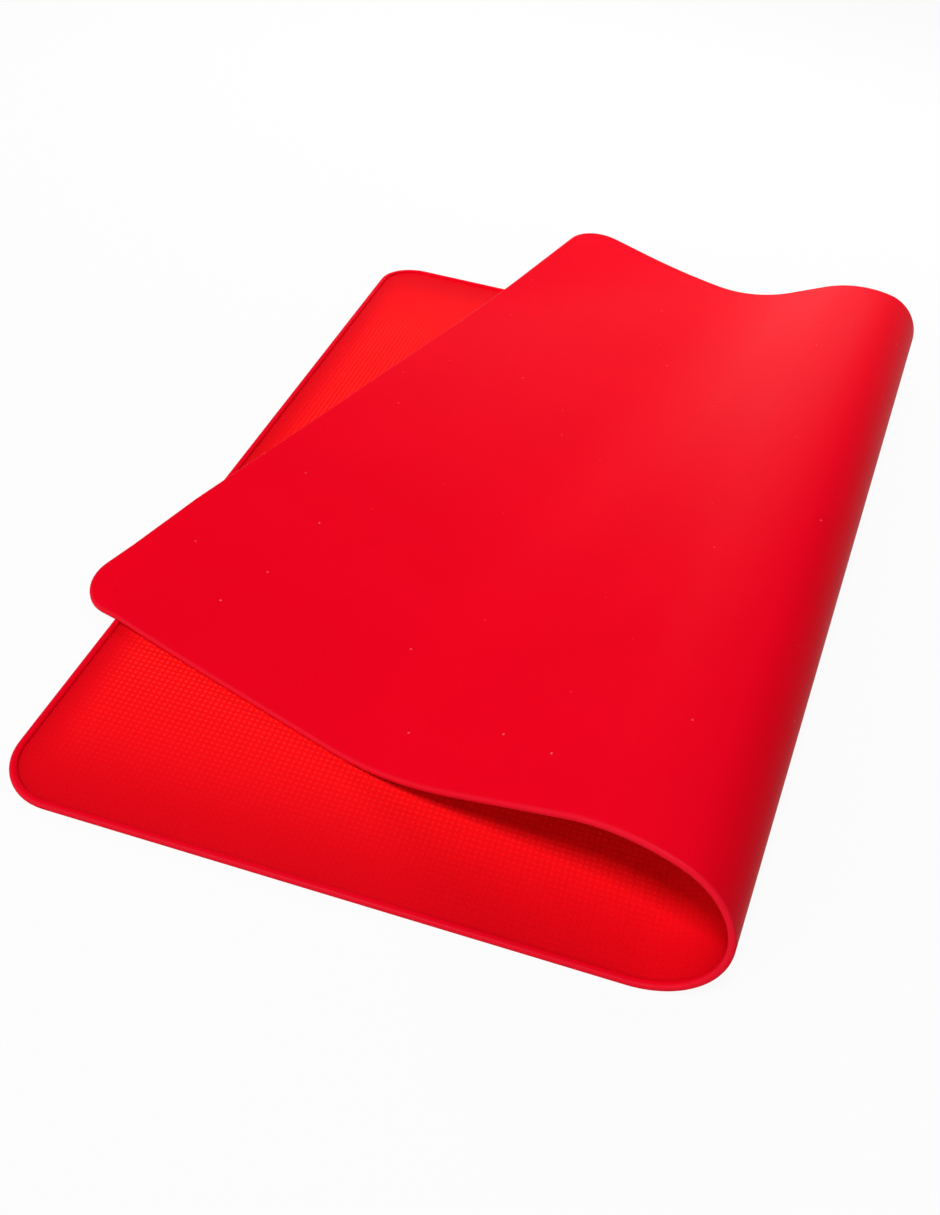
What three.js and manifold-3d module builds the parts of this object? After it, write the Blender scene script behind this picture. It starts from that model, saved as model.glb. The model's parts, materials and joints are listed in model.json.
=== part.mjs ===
// A silicone baking mat with a low rim, folded over on itself, in millimetres with +Z up.
// The mat is one moulding that bends along straight lines. It is laid out flat, cut along those lines into panels,
// and each panel is turned against the one before it about the line that they share.
import * as THREE from "three";
import Module from "manifold-3d";

// The flat mat: length runs across the fold and width along it
const MAT_LENGTH = 390;
const MAT_WIDTH = 300;
const CORNER_RADIUS = 15;
const CORNER_STEPS = 8;
const FLOOR_THICKNESS = 0.9;
const RIM_HEIGHT = 1.8; // from the outer face to the crest
const RIM_WIDTH = 2;
const RIM_STEPS = 6;

// The bends, from the lower leaf to the upper leaf. A bend lies between two straight lines across the flat mat,
// and is given by its widths on the mat's front and back edges.
const FOLD_START_FRONT = 150;
const FOLD_START_BACK = 201.5;
const FOLD_FRONT = 54;
const FOLD_BACK = 48.5;
const FOLD_HINGES = 10;
const CROWN_FRONT = 27;
const CROWN_BACK = 27;
const CROWN_HINGES = 3;
const CROWN_TURN = 34.5; // degrees
const RAMP_FRONT = 30;
const RAMP_BACK = 14;
const SADDLE_FRONT = 40;
const SADDLE_BACK = 32.5;
const SADDLE_HINGES = 3;

// The curled back corner of the upper leaf, by where its line meets the free edge and the back edge
const CURL_ON_FREE_EDGE = 85;
const CURL_ON_BACK_EDGE = 50.5;
const CURL_TURN = 7.8; // degrees

// Clearances
const HINGE_GAP = 0.3; // between two panels on their shared line
const REST_GAP = 0.3; // between the rims where the upper leaf crosses the lower one
const LANDING_GAP = 1; // under the upper leaf's rim where it comes down on the lower leaf's floor

const wasm = await Module();
wasm.setup();
const silicone = new THREE.MeshStandardMaterial({ color: 0xcf1126, roughness: 0.5, metalness: 0 });

// The mat's outline at a distance in from its edge, as points [x, y] counted anticlockwise.
function outline(inset) {
  const radius = CORNER_RADIUS - inset;
  const centres = [
    [MAT_LENGTH - CORNER_RADIUS, CORNER_RADIUS],
    [MAT_LENGTH - CORNER_RADIUS, MAT_WIDTH - CORNER_RADIUS],
    [CORNER_RADIUS, MAT_WIDTH - CORNER_RADIUS],
    [CORNER_RADIUS, CORNER_RADIUS],
  ];
  const points = [];
  centres.forEach(([x, y], corner) => {
    for (let step = 0; step <= CORNER_STEPS; step += 1) {
      const angle = (corner - 1 + step / CORNER_STEPS) * (Math.PI / 2);
      points.push([x + radius * Math.cos(angle), y + radius * Math.sin(angle)]);
    }
  });
  return points;
}

// The rim's section as [distance in from the edge, height above the outer face]: a bead standing on the floor.
function rimSection() {
  const section = [[0, 0]];
  for (let step = 0; step <= RIM_STEPS; step += 1) {
    const angle = (step / RIM_STEPS) * Math.PI;
    const inset = (RIM_WIDTH / 2) * (1 - Math.cos(angle));
    const height = FLOOR_THICKNESS + (RIM_HEIGHT - FLOOR_THICKNESS) * Math.sin(angle);
    section.push([inset, height]);
  }
  return section;
}

// The whole mat laid flat, outer face down at z = 0: the rim's section carried round the outline, then closed
// over the bottom and the floor.
function flatMat() {
  const rings = rimSection().map(([inset, height]) => outline(inset).map(([x, y]) => [x, y, height]));
  const count = rings[0].length;
  const triangles = [];
  for (let ring = 0; ring + 1 < rings.length; ring += 1) {
    for (let i = 0; i < count; i += 1) {
      const next = (i + 1) % count;
      const low = ring * count;
      const high = low + count;
      triangles.push(low + i, low + next, high + next, low + i, high + next, high + i);
    }
  }
  const top = (rings.length - 1) * count;
  for (let i = 1; i + 1 < count; i += 1) {
    triangles.push(0, i + 1, i);
    triangles.push(top, top + i, top + i + 1);
  }
  return new wasm.Manifold(
    new wasm.Mesh({
      numProp: 3,
      vertProperties: new Float32Array(rings.flat(2)),
      triVerts: new Uint32Array(triangles),
    }),
  );
}

// A line across the flat mat, with its direction, the level direction from it towards the panel that turns,
// and the turn in radians, positive towards the inner face.
function bendLine(from, to, turn) {
  const along = to.clone().sub(from).normalize();
  const towards = new THREE.Vector3(along.y, -along.x, 0);
  return { from, along, towards, turn };
}

// Every bend line from the lower leaf to the upper leaf, evenly spaced within each bend.
function foldLines(foldTurn, saddleTurn) {
  const bends = [
    { front: FOLD_FRONT, back: FOLD_BACK, hinges: FOLD_HINGES, turn: foldTurn },
    { front: CROWN_FRONT, back: CROWN_BACK, hinges: CROWN_HINGES, turn: THREE.MathUtils.degToRad(CROWN_TURN) },
    { front: RAMP_FRONT, back: RAMP_BACK, hinges: 0, turn: 0 },
    { front: SADDLE_FRONT, back: SADDLE_BACK, hinges: SADDLE_HINGES, turn: -saddleTurn },
  ];
  const lines = [];
  let front = FOLD_START_FRONT;
  let back = FOLD_START_BACK;
  for (const bend of bends) {
    for (let hinge = 0; hinge < bend.hinges; hinge += 1) {
      const share = (hinge + 0.5) / bend.hinges;
      const from = new THREE.Vector3(front + bend.front * share, 0, 0);
      const to = new THREE.Vector3(back + bend.back * share, MAT_WIDTH, 0);
      lines.push(bendLine(from, to, bend.turn / bend.hinges));
    }
    front += bend.front;
    back += bend.back;
  }
  return lines;
}

// A panel that turns: a group standing on its bend line and turned about it, hung on the panel before it. The
// line lies in the outer face. The panel's origin is where its group stands on the flat mat.
function hungPanel(before, line) {
  const group = new THREE.Group();
  group.position.subVectors(line.from, before.origin);
  group.quaternion.setFromAxisAngle(line.along, -line.turn);
  before.group.add(group);
  return { group, origin: line.from };
}

// The folded mat as nested groups: the lower leaf stays flat, and each panel carries all that come after it.
function foldedPanels(lines) {
  const panels = [{ group: new THREE.Group(), origin: new THREE.Vector3() }];
  for (const line of lines) {
    panels.push(hungPanel(panels.at(-1), line));
  }
  return panels;
}

// Where a point of the flat mat's front edge stands on a folded panel.
function frontEdgeAt(panel, x) {
  return panel.group.localToWorld(new THREE.Vector3(x, 0, 0).sub(panel.origin));
}

// How far the upper leaf's front edge is above its resting place, where it lands on the lower leaf's floor and
// where it crosses the lower leaf's left edge.
function restMiss(foldTurn, saddleTurn) {
  const leaf = foldedPanels(foldLines(foldTurn, saddleTurn)).at(-1);
  const landingAt = FOLD_START_FRONT + FOLD_FRONT + CROWN_FRONT + RAMP_FRONT + SADDLE_FRONT;
  const landing = frontEdgeAt(leaf, landingAt);
  const tip = frontEdgeAt(leaf, MAT_LENGTH);
  const crossing = landing.clone().lerp(tip, landing.x / (landing.x - tip.x));
  return [
    landing.z - (FLOOR_THICKNESS + RIM_HEIGHT + LANDING_GAP),
    crossing.z - (2 * RIM_HEIGHT + REST_GAP),
  ];
}

// The turns of the fold and of the saddle that bring the upper leaf to rest, by Newton's method.
function restingTurns() {
  const passes = 12;
  const nudge = 1e-5;
  let foldTurn = Math.PI;
  let saddleTurn = THREE.MathUtils.degToRad(CROWN_TURN);
  for (let pass = 0; pass < passes; pass += 1) {
    const [landing, crossing] = restMiss(foldTurn, saddleTurn);
    const byFold = restMiss(foldTurn + nudge, saddleTurn);
    const bySaddle = restMiss(foldTurn, saddleTurn + nudge);
    const a = (byFold[0] - landing) / nudge;
    const b = (bySaddle[0] - landing) / nudge;
    const c = (byFold[1] - crossing) / nudge;
    const d = (bySaddle[1] - crossing) / nudge;
    const area = a * d - b * c;
    foldTurn -= (d * landing - b * crossing) / area;
    saddleTurn -= (a * crossing - c * landing) / area;
  }
  return [foldTurn, saddleTurn];
}

// The part of a flat solid on one side of a bend line: side is 1 for the panel that turns and -1 for the panel
// that carries it. Where the bend closes on the inner face, the cut leans back by half the turn.
function cutAt(solid, line, side) {
  const lean = Math.tan(Math.max(line.turn, 0) / 2);
  const normal = line.towards.clone().multiplyScalar(side);
  const distance = normal.dot(line.from) + HINGE_GAP / 2;
  normal.z = -lean;
  const length = normal.length();
  return solid.trimByPlane(normal.divideScalar(length).toArray(), distance / length);
}

function nodeNames() {
  const strips = (name, count) => Array.from({ length: count }, (_, i) => `${name}_${i + 1}`);
  return [
    "lower_leaf",
    ...strips("fold_strip", FOLD_HINGES),
    ...strips("crown_strip", CROWN_HINGES - 1),
    "ramp_panel",
    ...strips("saddle_strip", SADDLE_HINGES - 1),
    "upper_leaf",
  ];
}

// Puts a solid cut from the flat mat on its folded panel, as a named mesh.
function addMesh(panel, name, solid) {
  const made = solid.getMesh();
  const geometry = new THREE.BufferGeometry()
    .setAttribute("position", new THREE.BufferAttribute(new Float32Array(made.vertProperties), 3))
    .setIndex(new THREE.BufferAttribute(made.triVerts, 1));
  geometry.computeVertexNormals();
  const mesh = new THREE.Mesh(geometry, silicone);
  mesh.name = name;
  mesh.position.copy(panel.origin).negate();
  panel.group.add(mesh);
}

// The panels along the mat
const mat = flatMat();
const lines = foldLines(...restingTurns());
const panels = foldedPanels(lines);
const corner = bendLine(
  new THREE.Vector3(MAT_LENGTH, MAT_WIDTH - CURL_ON_FREE_EDGE, 0),
  new THREE.Vector3(MAT_LENGTH - CURL_ON_BACK_EDGE, MAT_WIDTH, 0),
  -THREE.MathUtils.degToRad(CURL_TURN),
);
nodeNames().forEach((name, i) => {
  let solid = mat;
  if (i > 0) solid = cutAt(solid, lines[i - 1], 1);
  if (i < lines.length) solid = cutAt(solid, lines[i], -1);
  if (name === "upper_leaf") solid = cutAt(solid, corner, -1);
  addMesh(panels[i], name, solid);
});

// The curled corner, which turns against the upper leaf
const flap = hungPanel(panels.at(-1), corner);
addMesh(flap, "corner_flap", cutAt(cutAt(mat, lines.at(-1), 1), corner, 1));

// The part stands on z = 0, with its origin under the middle of its box.
const model = panels[0].group;
const box = new THREE.Box3().setFromObject(model, true);
const middle = box.getCenter(new THREE.Vector3());
model.position.set(-middle.x, -middle.y, -box.min.z);

export default model;
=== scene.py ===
# %% [markdown]
# # A red silicone baking mat, folded over on itself
#
# The real object is one thin moulding of red silicone rubber: a flat sheet with rounded corners, a low
# bead all round its inner face, and a fine grid of dots on that face for the baked goods to sit on. It
# lies on a table with one half folded over the other, so that a soft loop stands up where the sheet
# turns round.
#
# A thin sheet bends easily but hardly stretches. So the lesson goes the way a real mat goes: it is
# modelled flat, with its bead and its rounded corners, and then bent along straight lines. The packed
# model has the same lines as hinges.

# %% The packed model
import collections
import json
import math

import bpy
import numpy as np
from mathutils import Matrix, Vector

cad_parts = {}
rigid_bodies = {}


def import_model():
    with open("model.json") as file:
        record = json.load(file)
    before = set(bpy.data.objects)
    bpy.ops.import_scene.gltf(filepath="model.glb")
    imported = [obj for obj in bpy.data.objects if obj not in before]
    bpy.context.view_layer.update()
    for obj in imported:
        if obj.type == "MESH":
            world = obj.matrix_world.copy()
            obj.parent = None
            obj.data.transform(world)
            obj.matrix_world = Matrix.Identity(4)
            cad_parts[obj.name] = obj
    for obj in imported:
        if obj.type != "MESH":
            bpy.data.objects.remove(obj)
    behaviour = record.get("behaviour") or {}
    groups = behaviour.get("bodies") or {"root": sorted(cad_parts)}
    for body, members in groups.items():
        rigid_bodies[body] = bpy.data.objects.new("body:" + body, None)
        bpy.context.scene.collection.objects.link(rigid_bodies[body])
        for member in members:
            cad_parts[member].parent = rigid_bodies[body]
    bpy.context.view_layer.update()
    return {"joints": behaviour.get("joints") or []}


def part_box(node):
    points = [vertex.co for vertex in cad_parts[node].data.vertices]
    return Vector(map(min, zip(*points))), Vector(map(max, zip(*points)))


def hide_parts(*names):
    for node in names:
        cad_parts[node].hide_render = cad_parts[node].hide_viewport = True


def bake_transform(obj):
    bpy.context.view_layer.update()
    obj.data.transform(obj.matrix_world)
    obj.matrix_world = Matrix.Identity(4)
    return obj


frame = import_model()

# %% [markdown]
# ## The sizes of the flat mat
#
# Length runs across the fold and width runs along it. Lengths are in metres, as everywhere in Blender,
# so each one is written in millimetres times MM.

# %% Sizes
MM = 0.001
MAT_LENGTH = 390 * MM
MAT_WIDTH = 300 * MM
CORNER_RADIUS = 15 * MM
RIM_WIDTH = 2.0 * MM
RIM_HEIGHT = 1.8 * MM  # from the outer face to the crest of the bead
FOOT_THICKNESS = 1.1 * MM  # where the floor rises to meet the bead
print("The flat mat is %.0f by %.0f mm." % (MAT_LENGTH / MM, MAT_WIDTH / MM))

# %% [markdown]
# ## Selecting by code
#
# An operator works on whatever is selected. By hand one clicks on faces; in a script they are picked by
# their place or their normal. These two helpers open one object alone in edit mode, and pick faces in it
# by a test.

# %% Helpers for edit mode
def open_alone(piece, elements="FACE"):
    """Opens one object alone in edit mode, with nothing selected in it."""
    bpy.ops.object.select_all(action="DESELECT")
    piece.select_set(True)
    bpy.context.view_layer.objects.active = piece
    bpy.ops.object.mode_set(mode="EDIT")
    bpy.ops.mesh.select_mode(type=elements)
    bpy.ops.mesh.select_all(action="DESELECT")


def pick_faces(piece, wanted):
    """Selects the faces that pass a test, in edit mode, and gives their number."""
    bpy.ops.mesh.select_mode(type="FACE")
    bpy.ops.mesh.select_all(action="DESELECT")
    bpy.ops.object.mode_set(mode="OBJECT")
    picked = [bool(wanted(face)) for face in piece.data.polygons]
    piece.data.polygons.foreach_set("select", picked)
    bpy.ops.object.mode_set(mode="EDIT")
    return sum(picked)


# %% [markdown]
# ## The flat sheet
#
# The mould for the real mat is a shallow rectangular pocket with rounded corners. Here the same outline
# starts as a plane at the mat's size. Bevelling its four points, not its edges, rounds the corners, and
# one extrusion gives the sheet its thickness.

# %% The outline and the floor
CORNER_STEPS = 14

bpy.ops.object.select_all(action="DESELECT")
bpy.ops.mesh.primitive_plane_add(size=1, location=(MAT_LENGTH / 2, MAT_WIDTH / 2, 0))
mat = bpy.context.object
mat.name = "mat"
bpy.ops.transform.resize(value=(MAT_LENGTH, MAT_WIDTH, 1))
bpy.ops.object.transform_apply(location=True, rotation=True, scale=True)

open_alone(mat)
bpy.ops.mesh.select_all(action="SELECT")
bpy.ops.mesh.bevel(offset=CORNER_RADIUS, segments=CORNER_STEPS, profile=0.5, affect="VERTICES")
bpy.ops.mesh.select_all(action="SELECT")
bpy.ops.mesh.extrude_region_move(TRANSFORM_OT_translate={"value": (0, 0, FOOT_THICKNESS)})
bpy.ops.mesh.select_all(action="SELECT")
bpy.ops.mesh.normals_make_consistent(inside=False)
bpy.ops.object.mode_set(mode="OBJECT")
print("The sheet has", len(mat.data.polygons), "faces.")

# %% [markdown]
# ## The bead round the edge
#
# A low bead keeps juices on the mat. It is the top face inset by the bead's width, with the ring that
# this leaves extruded up. A bevel on both edges of the ring rounds it into a bead, and another one takes
# the sharpness off the edge underneath.

# %% The bead
CREST_ROUNDING = 0.68 * MM
UNDER_ROUNDING = 0.8 * MM
ROUNDING_STEPS = 5


NEARLY_LEVEL = 0.9  # the least height of a level face's normal


def faces_up(face):
    return face.normal.z > NEARLY_LEVEL


def faces_down(face):
    return face.normal.z < -NEARLY_LEVEL


open_alone(mat)
pick_faces(mat, faces_up)
bpy.ops.mesh.inset(thickness=RIM_WIDTH)
pick_faces(mat, lambda face: faces_up(face) and len(face.vertices) == 4)
bpy.ops.mesh.extrude_region_move(TRANSFORM_OT_translate={"value": (0, 0, RIM_HEIGHT - FOOT_THICKNESS)})
bpy.ops.mesh.region_to_loop()
bpy.ops.mesh.bevel(offset=CREST_ROUNDING, segments=ROUNDING_STEPS, profile=0.5, affect="EDGES")
pick_faces(mat, faces_down)
bpy.ops.mesh.region_to_loop()
bpy.ops.mesh.bevel(offset=UNDER_ROUNDING, segments=ROUNDING_STEPS, profile=0.5, affect="EDGES")
bpy.ops.object.mode_set(mode="OBJECT")
print("With its bead the mat has", len(mat.data.polygons), "faces.")

# %% [markdown]
# ## The cove inside the bead
#
# On the real mat the floor doesn't meet the bead at a sharp corner: it rises to it over a few
# millimetres, which shows as a soft dark band along the rim. Three insets, each a little lower than the
# last, make this slope, and what they leave in the middle is the floor. A plain inset on the underside,
# just below the end of the cove, keeps the shading of the round edge at the edge.

# %% The cove and the borders
COVE_STEPS = ((0.8 * MM, 0.13 * MM), (1.2 * MM, 0.07 * MM), (1.8 * MM, 0.04 * MM))  # width and fall of each
cove_width = sum(width for width, fall in COVE_STEPS)
border_width = RIM_WIDTH + cove_width


def big(face):
    return len(face.vertices) > 4


open_alone(mat)
pick_faces(mat, lambda face: big(face) and faces_up(face))
for width, fall in COVE_STEPS:
    bpy.ops.mesh.inset(thickness=width, depth=-fall)
pick_faces(mat, lambda face: big(face) and faces_down(face))
bpy.ops.mesh.inset(thickness=border_width - UNDER_ROUNDING)
bpy.ops.object.mode_set(mode="OBJECT")
floor_level = FOOT_THICKNESS - sum(fall for width, fall in COVE_STEPS)
print("The cove is %.1f mm wide, and the floor %.2f mm thick." % (cove_width / MM, floor_level / MM))

# %% [markdown]
# ## Where the mat bends
#
# A flat sheet that only bends keeps straight lines in it, called rulings, and turns about them. On this
# mat there is a tight fold, a rounder crown above it, a straight ramp, and a saddle where the upper leaf
# lies flat again. Each zone lies between two lines across the mat, given by its widths on the front edge
# and on the back edge. These differ, so the lines aren't parallel, and the upper leaf comes down turned
# a little to one side.
#
# The packed model's hinges sit in the middle of equal cells of these zones. A hinge turns all at once,
# and a sheet bends all along its cell, so each hinge's turn is spread over several rulings.

# %% The cells
FOLD_START = (150 * MM, 201.5 * MM)  # on the front edge and on the back edge
Zone = collections.namedtuple("Zone", "hinges front back turns_to")
INWARD = 1
OUTWARD = -1
ZONES = (
    Zone(10, 54 * MM, 48.5 * MM, INWARD),
    Zone(3, 27 * MM, 27 * MM, INWARD),
    Zone(0, 30 * MM, 14 * MM, INWARD),
    Zone(3, 40 * MM, 32.5 * MM, OUTWARD),
)

hinge_after = {joint["parent"]: joint for joint in frame["joints"]}
Cell = collections.namedtuple("Cell", "hinge starts ends turn")
cells = []
zone_ends = []
front, back = FOLD_START
body = "lower_leaf"
for zone in ZONES:
    for place in range(zone.hinges):
        share = np.array([place, place + 1]) / zone.hinges
        hinge = hinge_after[body]
        fronts = front + zone.front * share
        backs = back + zone.back * share
        turn = zone.turns_to * math.radians(hinge["range_deg"][1])
        cells.append(Cell(hinge, (fronts[0], backs[0]), (fronts[1], backs[1]), turn))
        body = hinge["child"]
    front += zone.front
    back += zone.back
    zone_ends.append((front, back))
print(len(cells), "cells from the lower leaf to the", body)

# %% [markdown]
# ## The rulings
#
# A ruling is a line on the flat mat, with the direction in which the part beyond it lies and the turn
# that it makes. The back corner of the upper leaf is curled up a little about a slanting line of its
# own, which comes last.

# %% Rulings in every cell and in the curled corner
FINEST_TURN = math.radians(2.5)
CURL_ON_FREE_EDGE = 85 * MM
CURL_ON_BACK_EDGE = 50.5 * MM
CURL_SPREAD = 34 * MM
CURL_RULINGS = 8
Ruling = collections.namedtuple("Ruling", "start along towards turn")


def ruling(start, end, turn):
    along = (np.array(end) - np.array(start)) / math.dist(start, end)
    towards = np.array((along[1], -along[0], 0))
    return Ruling(np.array(start), along, towards, turn)


def ruling_across(front, back, turn=0):
    return ruling((front, 0, 0), (back, MAT_WIDTH, 0), turn)


rulings = []
for cell in cells:
    count = math.ceil(abs(cell.turn) / FINEST_TURN)
    for step in range(count):
        share = (step + 0.5) / count
        front = cell.starts[0] + (cell.ends[0] - cell.starts[0]) * share
        back = cell.starts[1] + (cell.ends[1] - cell.starts[1]) * share
        rulings.append(ruling_across(front, back, cell.turn / count))

curl_hinge = hinge_after["upper_leaf"]
curl_turn = -math.radians(curl_hinge["range_deg"][1])
curl_line = ruling(
    (MAT_LENGTH, MAT_WIDTH - CURL_ON_FREE_EDGE, 0),
    (MAT_LENGTH - CURL_ON_BACK_EDGE, MAT_WIDTH, 0),
    curl_turn,
)
for step in range(CURL_RULINGS):
    offset = ((step + 0.5) / CURL_RULINGS - 0.5) * CURL_SPREAD
    moved = curl_line.start + curl_line.towards * offset
    rulings.append(Ruling(moved, curl_line.along, curl_line.towards, curl_turn / CURL_RULINGS))
print(len(rulings), "rulings")

# %% [markdown]
# ## Cutting the flat mat
#
# A mesh can bend only where it has edges. The bisect operator cuts every face that a plane crosses, so
# one upright plane on each ruling gives the mat an edge there, over the floor, the bead and the
# underside alike. The ends of the cells are cut as well, because the mat comes apart there later, one
# piece for each hinge. A few cuts along the mat let it sag.

# %% The cuts
CUT_EXACTLY = 0.001 * MM
SAG_CUTS_ALONG = 12
SAG_CUTS_ACROSS = 9

ramp_start, ramp_end = zone_ends[1], zone_ends[2]
ramp_middle = tuple((np.array(ramp_start) + np.array(ramp_end)) / 2)
leaf_start = zone_ends[3]


def cut(line):
    bpy.ops.mesh.select_all(action="SELECT")
    bpy.ops.mesh.bisect(plane_co=line.start, plane_no=line.towards, threshold=CUT_EXACTLY)


open_alone(mat)
for line in rulings:
    cut(line)
for ends in [cell.ends for cell in cells] + [FOLD_START, ramp_end, ramp_middle]:
    cut(ruling_across(*ends))
sag_lines = [MAT_WIDTH * step / SAG_CUTS_ALONG for step in range(1, SAG_CUTS_ALONG)]
for across in [border_width] + sag_lines + [MAT_WIDTH - border_width]:
    cut(ruling((MAT_LENGTH, across, 0), (0, across, 0), 0))
for step in range(1, SAG_CUTS_ACROSS):
    share = step / SAG_CUTS_ACROSS
    cut(ruling_across(*(np.array(leaf_start) * (1 - share) + MAT_LENGTH * share)))
bpy.ops.object.mode_set(mode="OBJECT")
print("Cut along its rulings, the mat has", len(mat.data.polygons), "faces.")

# %% [markdown]
# ## A map of the flat mat
#
# The dots follow the sheet when it bends. So before the bending, each point's place on the flat mat goes
# into a UV map, in metres, and into an attribute that tells later which cell a face belongs to.

# %% The flat places
flat = np.zeros(len(mat.data.vertices) * 3)
mat.data.vertices.foreach_get("co", flat)
flat = flat.reshape(-1, 3)
place = mat.data.attributes.new("flat", "FLOAT_VECTOR", "POINT")
place.data.foreach_set("vector", flat.ravel())

corner_points = np.zeros(len(mat.data.loops), int)
mat.data.loops.foreach_get("vertex_index", corner_points)
flat_map = mat.data.uv_layers.new(name="mat_map")
flat_map.data.foreach_set("uv", flat[corner_points, :2].ravel())

DOTTED = 1
for face in mat.data.polygons:
    if faces_up(face) and face.center.z < FOOT_THICKNESS:
        face.material_index = DOTTED
print("Flat map from", flat.min(axis=0), "to", flat.max(axis=0))

# %% [markdown]
# ## Bending it
#
# A point that lies beyond a ruling turns about it. Taking the rulings from the last to the first, each
# turn carries everything that has been bent already, as when one rolls up a sheet from its far end. A
# point right on a ruling turns half way, which keeps the sheet's thickness round the bend.

# %% The folded place of any point
ON_THE_LINE = 0.002 * MM
mat_corner = np.array(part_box("lower_leaf")[0])


def turned(points, line, angle):
    """Points turned about a ruling, each by its own angle."""
    arm = points - line.start
    cosine = np.cos(angle)[:, None]
    sine = np.sin(angle)[:, None]
    along = np.outer(arm @ line.along, line.along)
    return line.start + arm * cosine + np.cross(line.along, arm) * sine + along * (1 - cosine)


def folded(flat_points):
    """Where points of the flat mat stand on the folded mat, in the frame of the packed model."""
    points = flat_points.copy()
    for line in reversed(rulings):
        past = (flat_points - line.start) @ line.towards
        share = np.where(np.abs(past) < ON_THE_LINE, 0.5, past > 0)
        points = turned(points, line, -share * line.turn)
    return points + mat_corner


bent = folded(flat)
print("Folded, the mat reaches from", bent.min(axis=0).round(4), "to", bent.max(axis=0).round(4))

# %% [markdown]
# ## How the upper leaf settles
#
# Bending alone would leave the upper leaf as flat as a board. A real one is limp: it rides over the left
# rim of the lower leaf, dips to the floor beyond it, and hangs a little where its corner sticks out.
# These small moves, of a millimetre or two, all go down, so that the unfolded mat still lies on the
# table.

# %% The settled leaf
SINK = 0.25 * MM  # at the front edge, down to the rim that carries it
DIP = 0.7 * MM  # beyond the rim, down to the floor
DIP_REACH = 18 * MM  # from the rim to where the leaf is down
DROOP = 1.6 * MM  # of the corner that sticks out over the table
DROOP_REACH = 12 * MM
SINK_FADES_OVER = 200 * MM  # back from the front edge
SAGS_FROM_RAMP = 30 * MM  # from the end of the ramp to where the leaf sags fully


def rise(values, low, high):
    share = np.clip((values - low) / (high - low), 0, 1)
    return share * share * (3 - 2 * share)


def settled(points, flat_points):
    """Points of the folded mat with the small sags of the upper leaf."""
    saddle_line = ruling_across(*ramp_end)
    past_ramp = (flat_points - saddle_line.start) @ saddle_line.towards
    on_leaf = rise(past_ramp, 0, SAGS_FROM_RAMP)
    past_rim = points[:, 0] - (mat_corner[0] + RIM_WIDTH / 2)
    near_front = 1 - rise(flat_points[:, 1], 0, SINK_FADES_OVER)
    off_rim = DIP * rise(past_rim, 0, DIP_REACH) + DROOP * rise(-past_rim, 0, DROOP_REACH)
    down = (SINK + off_rim) * near_front
    moved = points.copy()
    moved[:, 2] -= on_leaf * down
    return moved


resting = settled(bent, flat)
mat.data.vertices.foreach_set("co", resting.ravel())
mat.data.update()
print("Moved by up to %.1f mm" % (np.abs(resting - bent).max() / MM))

# %% [markdown]
# ## Smooth shading, kept through the split
#
# The sheet has to move with eighteen bodies, so it becomes one piece for each hinge. Pieces that are
# shaded each on their own would show their borders. So the whole mat is shaded first, its normals are
# written down on the face corners, and each piece gets them back after the split.

# %% The normals of the whole mat
SHARPEST_SMOOTH = math.radians(50)

open_alone(mat)
bpy.ops.object.mode_set(mode="OBJECT")
bpy.ops.object.shade_smooth_by_angle(angle=SHARPEST_SMOOTH)
bpy.ops.object.modifier_add(type="WEIGHTED_NORMAL")
mat.modifiers[-1].keep_sharp = True
bpy.ops.object.modifier_apply(modifier=mat.modifiers[-1].name)
normals = np.zeros(len(mat.data.loops) * 3)
mat.data.corner_normals.foreach_get("vector", normals)
kept = mat.data.attributes.new("kept_normal", "FLOAT_VECTOR", "CORNER")
kept.data.foreach_set("vector", normals)
print("Normals kept on", len(mat.data.loops), "face corners")

# %% [markdown]
# ## One piece for each hinge
#
# A piece starts where the cell of one hinge starts and ends where the next one starts. The ramp between
# the crown and the saddle has no hinge, and is shared by its two neighbours. The first piece has the
# lower leaf with it, and the last piece is the upper leaf, with the curled corner.

# %% The split
Span = collections.namedtuple("Span", "name hinge starts ends")
MAT_END = (MAT_LENGTH, MAT_LENGTH)
borders = [cell.ends for cell in cells]
crown_end = borders.index(ramp_start)
borders[crown_end] = ramp_middle
spans = []
for place, cell in enumerate(cells):
    starts = borders[place - 1] if place else (0, 0)
    spans.append(Span("silicone_" + cell.hinge["parent"], cell.hinge, starts, borders[place]))
spans.append(Span("silicone_upper_leaf", curl_hinge, leaf_start, MAT_END))


def beyond(points, ends):
    line = ruling_across(*ends)
    return (points - line.start) @ line.towards


def flat_places(piece):
    spots = np.zeros(len(piece.data.vertices) * 3)
    piece.data.attributes["flat"].data.foreach_get("vector", spots)
    return spots.reshape(-1, 3)


def split_off(span):
    """Takes the faces before the end of a span off the mat, as a piece of its own."""
    spots = flat_places(mat)
    open_alone(mat)
    pick_faces(mat, lambda face: beyond(spots[list(face.vertices)].mean(axis=0), span.ends) < 0)
    bpy.ops.mesh.separate(type="SELECTED")
    bpy.ops.object.mode_set(mode="OBJECT")
    piece = next(o for o in bpy.context.selected_objects if o is not mat)
    piece.name = span.name
    return piece


sheets = [split_off(span) for span in spans[:-1]]
mat.name = spans[-1].name
sheets.append(mat)
print(len(sheets), "pieces")

# %% [markdown]
# ## Closing the cut ends
#
# Each piece is open where it was cut. A bridge between the floor and the underside closes most of an
# end, and the two small holes that are left at the bead are filled. One big face over the whole end
# would be long, thin and hollow on one side, which Blender divides badly. Then the kept normals go back
# on the corners of the piece.

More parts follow.
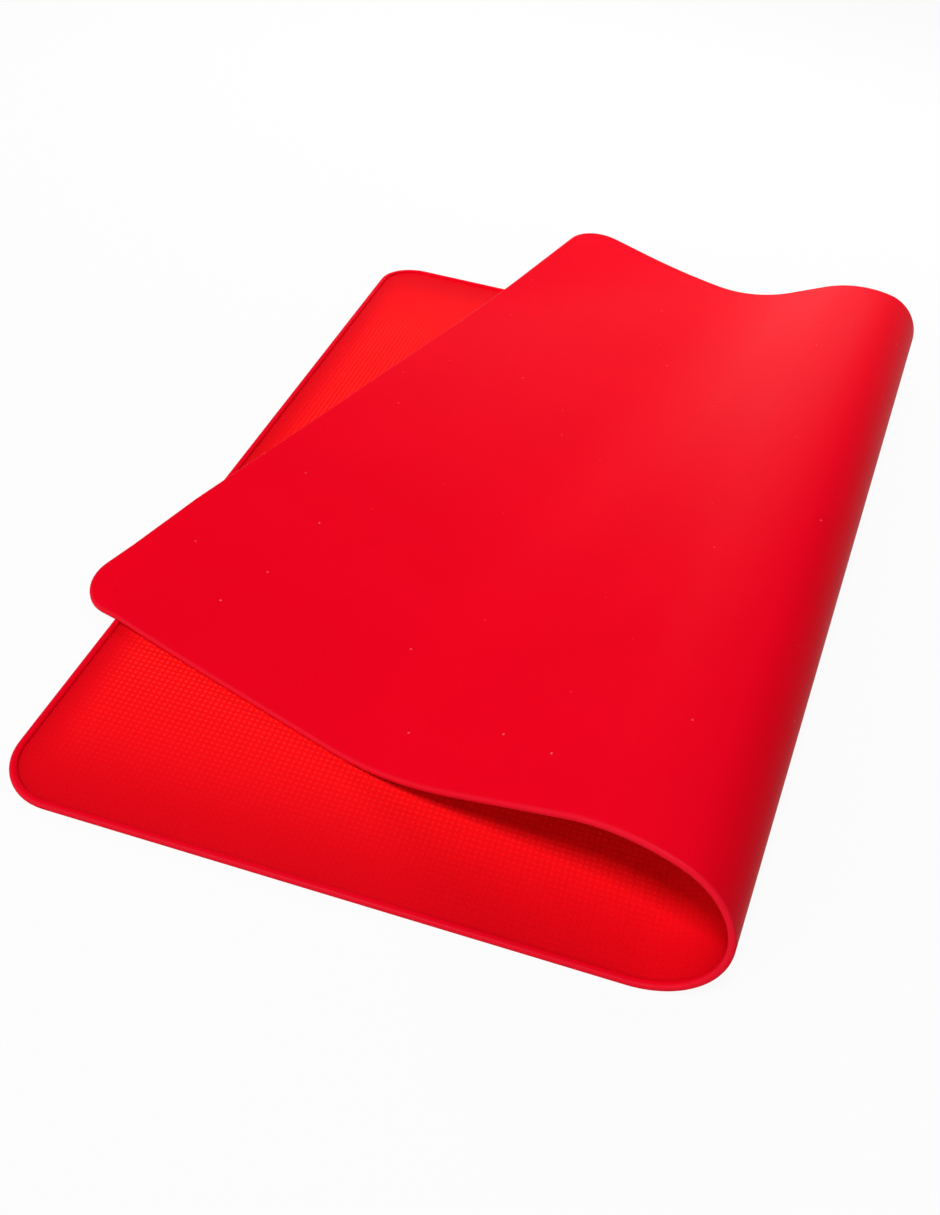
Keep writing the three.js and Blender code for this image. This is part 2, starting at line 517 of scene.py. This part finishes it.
# %% Closed pieces with the kept normals
def bridge_floor(piece, ends):
    """Joins the floor to the underside on one border of a piece, from cove to cove."""
    spots = flat_places(piece)
    to_edge = MAT_WIDTH / 2 - np.abs(spots[:, 1] - MAT_WIDTH / 2)
    inside = (np.abs(beyond(spots, ends)) < ON_THE_LINE) & (to_edge > border_width - ON_THE_LINE)
    open_alone(piece, "EDGE")
    bpy.ops.object.mode_set(mode="OBJECT")
    for edge in piece.data.edges:
        edge.select = all(inside[point] for point in edge.vertices)
    bpy.ops.object.mode_set(mode="EDIT")
    bpy.ops.mesh.bridge_edge_loops()
    bpy.ops.object.mode_set(mode="OBJECT")


def close_ends(piece, span):
    for ends in (span.starts, span.ends):
        if ends not in ((0, 0), MAT_END):
            bridge_floor(piece, ends)
    open_alone(piece, "EDGE")
    bpy.ops.mesh.select_non_manifold()
    bpy.ops.mesh.fill_holes(sides=0)
    bpy.ops.mesh.select_all(action="SELECT")
    bpy.ops.mesh.normals_make_consistent(inside=False)
    bpy.ops.object.mode_set(mode="OBJECT")


def restore_normals(piece):
    mesh = piece.data
    own = np.zeros(len(mesh.loops) * 3)
    mesh.attributes["kept_normal"].data.foreach_get("vector", own)
    own = own.reshape(-1, 3)
    for face in mesh.polygons:
        corners = list(face.loop_indices)
        face.use_smooth = bool(np.abs(own[corners]).sum() > 0)
    mesh.normals_split_custom_set(own.tolist())
    mesh.attributes.remove(mesh.attributes["kept_normal"])
    mesh.attributes.remove(mesh.attributes["flat"])


for piece, span in zip(sheets, spans):
    close_ends(piece, span)
    restore_normals(piece)
print("Triangles:", sum(len(face.vertices) - 2 for piece in sheets for face in piece.data.polygons))

# %% [markdown]
# ## Points across each cell
#
# For each piece, two points of the folded mat are found on either side of the middle of its cell.
# The piece's place is baked into its mesh, and the packed model's part for its hinge is hidden. The
# last piece gets the same for its curled corner, and hides the upper leaf and the corner flap.

# %% Bodies
def across_cell(line, width):
    """Two points of the folded mat, on either side of the middle of a ruling."""
    middle = line.start + line.along * (MAT_WIDTH / 2 / line.along[1])
    return folded(np.array([middle - line.towards * width / 2, middle + line.towards * width / 2]))


for piece, span, cell in zip(sheets, spans, cells):
    middle_line = ruling_across(*((np.array(cell.starts) + np.array(cell.ends)) / 2))
    width = (sum(cell.ends) - sum(cell.starts)) / 2 * middle_line.towards[0]
    start, end = across_cell(middle_line, width)
    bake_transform(piece)
    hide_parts(span.hinge["parent"])

curl_middle = curl_line.start + curl_line.along * math.hypot(CURL_ON_FREE_EDGE, CURL_ON_BACK_EDGE) / 2
half_spread = curl_line.towards * CURL_SPREAD / 2
start, end = folded(np.array([curl_middle - half_spread, curl_middle + half_spread]))
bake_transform(sheets[-1])
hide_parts("upper_leaf", "corner_flap")

# %% [markdown]
# ## What the sheet was cut to
#
# Each piece's flat size and area are worked out, except for the narrow strips of the fold and of the
# crown.

# %% The flat sizes
NARROWEST_SHEET = 10 * MM


def mean_length(span):
    return (sum(span.ends) - sum(span.starts)) / 2


narrow = [piece for piece, span in zip(sheets, spans) if mean_length(span) < NARROWEST_SHEET]
for piece, span in zip(sheets, spans):
    if piece in narrow:
        continue
    size = (MAT_WIDTH, max(span.ends) - min(span.starts))
    area = MAT_WIDTH * mean_length(span)
print(len(narrow), "narrow strips go with the lower leaf.")

# %% [markdown]
# ## Writing shader maths
#
# Nodes are quick to draw and slow to write. This small class stands for one output of a node. Adding or
# multiplying two of them adds the Math node, and its node method makes any other node.

# %% A node output to calculate with
class Shade:
    def __init__(self, tree, socket=None):
        self.tree = tree
        self.socket = socket

    def node(self, kind, settings=None, inputs=None, output=0):
        """A new node: its settings first, then the values or links of its sockets."""
        made = self.tree.nodes.new(kind)
        for name, value in (settings or {}).items():
            setattr(made, name, value)
        for name, value in (inputs or {}).items():
            if isinstance(value, Shade):
                self.tree.links.new(value.socket, made.inputs[name])
            else:
                made.inputs[name].default_value = value
        return Shade(self.tree, made.outputs[output])

    def maths(self, operation, first, second):
        return self.node("ShaderNodeMath", {"operation": operation}, {0: first, 1: second})

    def __add__(self, other):
        return self.maths("ADD", self, other)

    def __radd__(self, other):
        return self.maths("ADD", other, self)

    def __sub__(self, other):
        return self.maths("SUBTRACT", self, other)

    def __rsub__(self, other):
        return self.maths("SUBTRACT", other, self)

    def __mul__(self, other):
        return self.maths("MULTIPLY", self, other)

    def __rmul__(self, other):
        return self.maths("MULTIPLY", other, self)

    def __truediv__(self, other):
        return self.maths("DIVIDE", self, other)

    def __pow__(self, other):
        return self.maths("POWER", self, other)


def smooth_step(value, low, high):
    """0 below low, 1 above high, and a soft rise between them."""
    settings = {"interpolation_type": "SMOOTHSTEP"}
    return value.node("ShaderNodeMapRange", settings, {"Value": value, "From Min": low, "From Max": high})


special = [name for name in vars(Shade) if name.startswith("__")]
print("Shade calculates with", len(special), "special methods.")

# %% [markdown]
# ## The silicone
#
# Silicone rubber is dyed right through. The floor is painted a darker red near the rim, over a few
# centimetres in from the front and back edges and about a centimetre in from the sides: painted shade.
# The round edge of the rim is painted a pinker red, a painted highlight under a faint real gloss. The
# outer face comes from a polished mould and has a soft satin sheen, with a very slight unevenness and a
# few specks of dust. The inner face is covered with dots, about a millimetre and a half apart. Their
# tops are painted lighter and pinker, a painted highlight for their glints, and this and their relief
# fade towards the rim.

# %% The two finishes
OUTER_RED = (0.82, 0.0010, 0.0125, 1)
OUTER_DEEP_RED = (0.76, 0.0008, 0.0112, 1)
# The rim's round edge is painted this pinker red: a painted highlight.
RIM_PAINTED_HIGHLIGHT_RED = (0.72, 0.0055, 0.0205, 1)
FLOOR_RED = (0.93, 0.0036, 0.0078, 1)
# The floor's darker red near the rim is painted shade.
FLOOR_PAINTED_SHADE_RED = (0.70, 0.0018, 0.0075, 1)
# The dots' lighter, pinker top is a painted highlight for their glints.
DOT_GLINT_RED = (1.00, 0.0230, 0.0180, 1)
SPECK_PINK = (1.00, 0.30, 0.32, 1)
DOT_PITCH = 1.48 * MM
OUTER_SPECULAR = 0.006
INNER_SPECULAR = 0.014
RIM_GLOSS = 0.04
# The pinkish line is a painted highlight in the colour, with a faint real coat gloss over the same band.
RIM_LINE = (0.4 * MM, 1.1 * MM)  # in from the edge, where the pinkish line starts to fade and where it ends
CLOUD = {"Scale": 28.0, "Detail": 3.0}  # unevenness some centimetres wide
GRAIN = {"Scale": 900.0, "Detail": 2.0}  # unevenness about a millimetre wide
GRAIN_DEPTH = 0.05 * MM
GRAIN_BUMP = 0.15
OUTER_ROUGHNESS = 0.32
CLOUD_ROUGHENS_OUTER = 0.08
GRAIN_ROUGHENS_OUTER = 0.06
INNER_ROUGHNESS = 0.55
CLOUD_ROUGHENS_INNER = 0.1
CLOUD_ON_FLOOR = 0.1  # share of the floor's colour that follows the unevenness
SPECKS_PER_METRE = 45.0
SPECK_SIZE = (0.007, 0.018)  # of the distance between specks: the solid core and the faded edge
SPECK_CHANCE = (0.4, 0.9)  # of a random number: no speck below, a full one above
SPECK_STRENGTH = 0.4
DOT_SIZE = (0.16, 0.42)  # of the pitch: radius of the flat top and of the foot
DOT_DEPTH = 0.25 * MM
DOT_BUMP = 0.35
FAINT_DOTS = 0.35  # share of the relief that is left near the rim
# The painted shade along the rim fades out between these distances in from the edges.
PAINTED_SHADE_FROM_FRONT = (4 * MM, 32 * MM)  # where the floor turns bright, in from the front and back edges
PAINTED_SHADE_FROM_SIDE = (1 * MM, 12 * MM)
# Where the painted glints on the dots, and their relief, come to full strength.
DOTS_FROM_FRONT = (7 * MM, 64 * MM)  # where the dots become clear
DOTS_FROM_SIDE = (4 * MM, 14 * MM)
RIM_GLOSS_ROUGHNESS = 0.4


def new_finish(name):
    material = bpy.data.materials.new(name)
    material.use_nodes = True
    return material, Shade(material.node_tree), material.node_tree.nodes["Principled BSDF"]


def blend_colours(factor, first, second):
    return factor.node(
        "ShaderNodeMix",
        {"data_type": "RGBA"},
        {"Factor": factor, 6: first, 7: second},
        output=2,
    )


def flat_place(start):
    """The place on the flat mat: both numbers together, then along its length and along its width."""
    place = start.node("ShaderNodeUVMap", {"uv_map": "mat_map"})
    length = start.node("ShaderNodeSeparateXYZ", None, {"Vector": place}, output="X")
    width = start.node("ShaderNodeSeparateXYZ", None, {"Vector": place}, output="Y")
    return place, length, width


def distance_to_edge(start, length, width):
    """How far a place on the flat mat is from the rounded outline."""
    past_x = start.maths("ABSOLUTE", length - MAT_LENGTH / 2, 0.0) - (MAT_LENGTH / 2 - CORNER_RADIUS)
    past_y = start.maths("ABSOLUTE", width - MAT_WIDTH / 2, 0.0) - (MAT_WIDTH / 2 - CORNER_RADIUS)
    round_x = start.maths("MAXIMUM", past_x, 0.0)
    round_y = start.maths("MAXIMUM", past_y, 0.0)
    in_corner = (round_x * round_x + round_y * round_y) ** 0.5
    straight = start.maths("MINIMUM", start.maths("MAXIMUM", past_x, past_y), 0.0)
    return CORNER_RADIUS - in_corner - straight


def finish_outer():
    material, start, shader = new_finish("satin_silicone")
    place, length, width = flat_place(start)
    to_edge = distance_to_edge(start, length, width)
    on_rim = 1 - smooth_step(to_edge, *RIM_LINE)
    cloud = start.node("ShaderNodeTexNoise", None, {"Vector": place, **CLOUD})
    grain = start.node("ShaderNodeTexNoise", None, {"Vector": place, **GRAIN})
    flat_cells = {"voronoi_dimensions": "2D"}
    cells = {"Vector": place, "Scale": SPECKS_PER_METRE}
    from_speck = start.node("ShaderNodeTexVoronoi", flat_cells, cells, output="Distance")
    chance = start.node("ShaderNodeTexVoronoi", flat_cells, cells, output="Color")
    speck = (1 - smooth_step(from_speck, *SPECK_SIZE)) * smooth_step(chance, *SPECK_CHANCE)
    face = blend_colours(cloud, OUTER_DEEP_RED, OUTER_RED)
    specked = blend_colours(SPECK_STRENGTH * speck, face, SPECK_PINK)
    # Painted highlight: the round edge of the rim gets the pinker red.
    colour = blend_colours(on_rim, specked, RIM_PAINTED_HIGHLIGHT_RED)
    roughness = OUTER_ROUGHNESS + CLOUD_ROUGHENS_OUTER * cloud + GRAIN_ROUGHENS_OUTER * grain
    relief = {"Strength": GRAIN_BUMP, "Distance": GRAIN_DEPTH, "Height": grain}
    bump = start.node("ShaderNodeBump", None, relief)
    gloss = RIM_GLOSS * on_rim
    material.node_tree.links.new(colour.socket, shader.inputs["Base Color"])
    material.node_tree.links.new(roughness.socket, shader.inputs["Roughness"])
    material.node_tree.links.new(bump.socket, shader.inputs["Normal"])
    material.node_tree.links.new(gloss.socket, shader.inputs["Coat Weight"])
    shader.inputs["Coat Roughness"].default_value = RIM_GLOSS_ROUGHNESS
    shader.inputs["Specular IOR Level"].default_value = OUTER_SPECULAR
    return material


def finish_inner():
    material, start, shader = new_finish("dotted_silicone")
    place, length, width = flat_place(start)
    from_front = start.maths("MINIMUM", width, MAT_WIDTH - width)
    from_side = start.maths("MINIMUM", length, MAT_LENGTH - length)
    cell_x = start.maths("FRACT", length / DOT_PITCH, 0.0) - 0.5
    cell_y = start.maths("FRACT", width / DOT_PITCH, 0.0) - 0.5
    radius = (cell_x * cell_x + cell_y * cell_y) ** 0.5
    dot = 1 - smooth_step(radius, *DOT_SIZE)
    # Painted shade: the floor turns darker red within a few centimetres of the front and back edges and
    # about a centimetre of the sides.
    beyond_painted_shade = smooth_step(from_front, *PAINTED_SHADE_FROM_FRONT) * smooth_step(from_side, *PAINTED_SHADE_FROM_SIDE)
    clear_dots = smooth_step(from_front, *DOTS_FROM_FRONT) * smooth_step(from_side, *DOTS_FROM_SIDE)
    cloud = start.node("ShaderNodeTexNoise", None, {"Vector": place, **CLOUD})
    brightness = beyond_painted_shade * (1 - CLOUD_ON_FLOOR) + cloud * CLOUD_ON_FLOOR
    ground = blend_colours(brightness, FLOOR_PAINTED_SHADE_RED, FLOOR_RED)
    # Painted highlight: the dot tops are painted lighter and pinker, fading near the rim.
    colour = blend_colours(dot * clear_dots, ground, DOT_GLINT_RED)
    roughness = INNER_ROUGHNESS + CLOUD_ROUGHENS_INNER * cloud
    height = dot * (FAINT_DOTS + (1 - FAINT_DOTS) * clear_dots)
    relief = {"Strength": DOT_BUMP, "Distance": DOT_DEPTH, "Height": height}
    bump = start.node("ShaderNodeBump", None, relief)
    material.node_tree.links.new(colour.socket, shader.inputs["Base Color"])
    material.node_tree.links.new(roughness.socket, shader.inputs["Roughness"])
    material.node_tree.links.new(bump.socket, shader.inputs["Normal"])
    shader.inputs["Specular IOR Level"].default_value = INNER_SPECULAR
    return material


satin = finish_outer()
dotted = finish_inner()
for piece in sheets:
    piece.data.materials.append(satin)
    piece.data.materials.append(dotted)
print("Finishes:", satin.name, "and", dotted.name)

# %% [markdown]
# ## The floor and the light
#
# The mat lies on a white table in soft studio light. Two large lamps stand in front, one low on the left
# and one high up. A weak one over the back leaves no gloss, and a bright sheet far behind shows only in
# the satin gloss. The table and the room look white to the camera, and to gloss and glass as well, but
# don't add that light to the mat.

# %% The floor
FLOOR_SIZE = 8.0
FLOOR_DROP = 0.05 * MM
FLOOR_GREY = (0.75, 0.75, 0.75, 1)
WHITE = (1, 1, 1, 1)
WHITE_SHARE = 0.92  # the rest of what the camera sees is the lit floor, with the mat's shadow

bpy.ops.object.select_all(action="DESELECT")
bpy.ops.mesh.primitive_plane_add(size=FLOOR_SIZE, location=(0, 0, -FLOOR_DROP))
floor = bpy.context.object
floor.name = "floor"


def looked_at(start):
    """1 where a ray comes from the camera, also by gloss or glass, and 0 where it carries light."""
    straight = start.node("ShaderNodeLightPath", None, None, "Is Camera Ray")
    mirrored = start.node("ShaderNodeLightPath", None, None, "Is Glossy Ray")
    through = start.node("ShaderNodeLightPath", None, None, "Is Transmission Ray")
    return start.maths("MAXIMUM", straight, start.maths("MAXIMUM", mirrored, through))


def finish_floor():
    material, start, shader = new_finish("white_floor")
    tree = material.node_tree
    ray = looked_at(start)
    white = start.node("ShaderNodeEmission", None, {"Color": WHITE, "Strength": 1.0})
    paper = start.node("ShaderNodeBsdfDiffuse", None, {"Color": FLOOR_GREY})
    mixed = start.node("ShaderNodeMixShader", None, {0: ray * WHITE_SHARE, 1: paper, 2: white})
    tree.links.new(mixed.socket, tree.nodes["Material Output"].inputs["Surface"])
    return material


floor.data.materials.append(finish_floor())
print("The floor is %.0f m wide." % FLOOR_SIZE)

# %% The lamps
ROOM_LIGHT = 0.04  # of the white that the camera sees behind the floor


def lamp(name, place, aim, size, watts):
    data = bpy.data.lights.new(name, "AREA")
    data.shape = "RECTANGLE"
    data.size, data.size_y = size
    data.energy = watts
    made = bpy.data.objects.new(name, data)
    bpy.context.scene.collection.objects.link(made)
    made.location = place
    made.rotation_euler = (Vector(aim) - Vector(place)).to_track_quat("-Z", "Y").to_euler()
    made.visible_camera = False
    return made


def round_the_mat(azimuth, elevation, distance):
    """A place by its angle round the mat, from the right, and its angle above the table, in degrees."""
    level = distance * math.cos(math.radians(elevation))
    return (
        level * math.cos(math.radians(azimuth)),
        level * math.sin(math.radians(azimuth)),
        distance * math.sin(math.radians(elevation)),
    )


lamp("left_key", round_the_mat(-135, 20, 2.6), (0, 0, 0), (1.4, 1.4), 21)
lamp("front_key", round_the_mat(-110, 63, 2.6), (0, 0, 0), (0.5, 0.5), 52)
over_back = lamp("over_back", (-0.02, 0.45, 0.4), (-0.02, 0.45, 0), (0.65, 0.4), 1.9)
over_back.visible_glossy = False
backdrop = lamp("backdrop", (-0.15, 1.9, 0.55), (0, 0, 0.1), (1.0, 1.1), 9)
backdrop.visible_diffuse = False
world = bpy.data.worlds.new("studio")
bpy.context.scene.world = world
world.use_nodes = True
air = Shade(world.node_tree)
dim = air.node("ShaderNodeBackground", None, {"Color": WHITE, "Strength": ROOM_LIGHT})
white = air.node("ShaderNodeBackground", None, {"Color": WHITE, "Strength": 1.0})
studio = air.node("ShaderNodeMixShader", None, {0: looked_at(air), 1: dim, 2: white})
world.node_tree.links.new(studio.socket, world.node_tree.nodes["World Output"].inputs["Surface"])
world.node_tree.nodes.remove(world.node_tree.nodes["Background"])
print("Four lamps and a dim room")

# %% [markdown]
# ## The camera
#
# The camera stands in front of the mat, close to it, and looks down on it with a slight tilt, as in the
# photograph.

# %% The camera
bpy.ops.object.camera_add(location=(23.34 * MM, -292.93 * MM, 205.26 * MM))
camera = bpy.context.object
camera.data.lens = 31.24
camera.data.sensor_width = 36
camera.data.clip_start = 0.01
swing = Matrix.Rotation(math.radians(9.471), 3, "Z")
dip = Matrix.Rotation(math.radians(47.586), 3, "X")
tilt = Matrix.Rotation(math.radians(8.25), 3, "Z")
camera.rotation_euler = (swing @ dip @ tilt).to_euler()
bpy.context.scene.camera = camera
bpy.context.scene.view_settings.view_transform = "Standard"
print("The camera's lens is %.1f mm." % camera.data.lens)

# %% [markdown]
# ## The end
